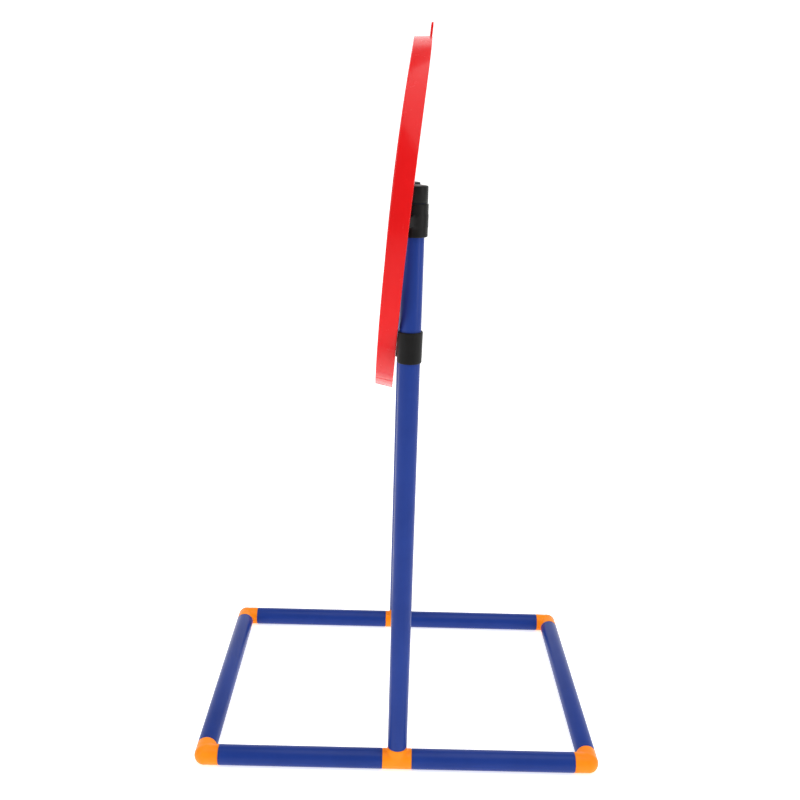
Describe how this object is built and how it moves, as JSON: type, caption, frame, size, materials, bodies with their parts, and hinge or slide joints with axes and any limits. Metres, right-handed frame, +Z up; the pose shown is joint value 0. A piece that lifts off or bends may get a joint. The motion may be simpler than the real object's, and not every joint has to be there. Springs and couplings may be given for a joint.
{
  "type": "agility hurdle",
  "caption": "Dog agility hurdle: a hoop held by clips between two upright posts, where it tilts and slides a little, on a push-together rectangular tube base.",
  "frame": {"origin": "centre of the base rectangle at floor level, midway between the posts", "axes": "+Z up, +X along the dog's path through the hoop towards the side the hoop's top leans to, +Y across to the left post"},
  "size_m": [0.606, 0.5052, 1.0677],
  "materials": {
    "blue_tube": "satin moulded tube",
    "orange_connector": "satin moulded connector",
    "red_hoop": "glossy moulded band",
    "black_fitting": "fine-grained moulded clip and cap"
  },
  "bodies": {
    "stand": {"cap_left": "black_fitting", "cap_right": "black_fitting", "cross_tube_front": "blue_tube", "cross_tube_rear": "blue_tube", "elbow_front_left": "orange_connector", "elbow_front_right": "orange_connector", "elbow_rear_left": "orange_connector", "elbow_rear_right": "orange_connector", "post_left": "blue_tube", "post_right": "blue_tube", "side_tube_front_left": "blue_tube", "side_tube_front_right": "blue_tube", "side_tube_rear_left": "blue_tube", "side_tube_rear_right": "blue_tube", "tee_left": "orange_connector", "tee_right": "orange_connector"},
    "clip_carriage": {"lower_clip_left": "black_fitting", "lower_clip_right": "black_fitting", "upper_clip_left": "black_fitting", "upper_clip_right": "black_fitting"},
    "hoop": {"hoop_half_left": "red_hoop", "hoop_half_right": "red_hoop", "hoop_joiner_lower": "red_hoop", "hoop_joiner_upper": "red_hoop"}
  },
  "joints": [
    {"name": "hoop_height", "type": "slide", "parent": "stand", "child": "clip_carriage", "axis": [0, 0, 1], "range_m": [-0.02, 0]},
    {"name": "hoop_tilt", "type": "hinge", "parent": "clip_carriage", "child": "hoop", "pos_m": [-0.01957, 0.0002, 0.80253], "axis": [-0.0039, 0.999, -0.0447], "range_deg": [0, 90]}
  ]
}
